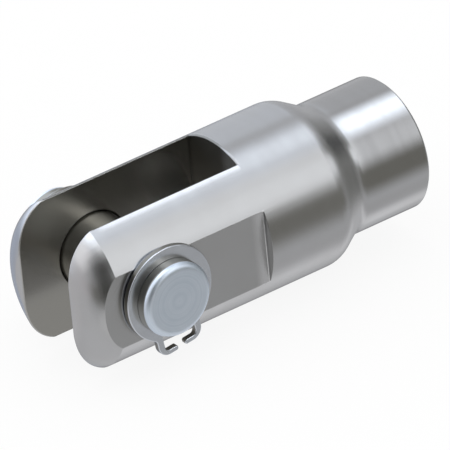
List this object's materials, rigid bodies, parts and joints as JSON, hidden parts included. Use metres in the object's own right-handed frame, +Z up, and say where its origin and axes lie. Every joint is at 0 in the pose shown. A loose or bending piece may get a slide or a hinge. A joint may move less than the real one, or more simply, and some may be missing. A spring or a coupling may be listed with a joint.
{
  "type": "tension rod clevis",
  "caption": "Forked end for a tension rod: a threaded neck takes the rod, and a cross pin with sprung retaining rings holds a plate or lug between the arms.",
  "frame": {"origin": "centre of the cross pin, midway between the fork arms", "axes": "+X along the rod from the pin towards the neck, Y along the cross pin, +Z up through the open slot"},
  "size_m": [0.048, 0.0245, 0.02],
  "materials": {
    "body_steel": "turned and milled steel with a satin bright plating",
    "pin_steel": "turned steel with a cool grey plating",
    "spring_steel": "stamped and plated spring steel"
  },
  "bodies": {
    "clevis": {"clevis_body": "body_steel"},
    "pin": {"cross_pin": "pin_steel", "retaining_ring_near": "spring_steel", "retaining_ring_far": "spring_steel"}
  },
  "joints": [
    {"name": "pin_spin", "type": "hinge", "parent": "clevis", "child": "pin", "pos_m": [0, 0, 0], "axis": [0, 1, 0], "continuous": true}
  ]
}
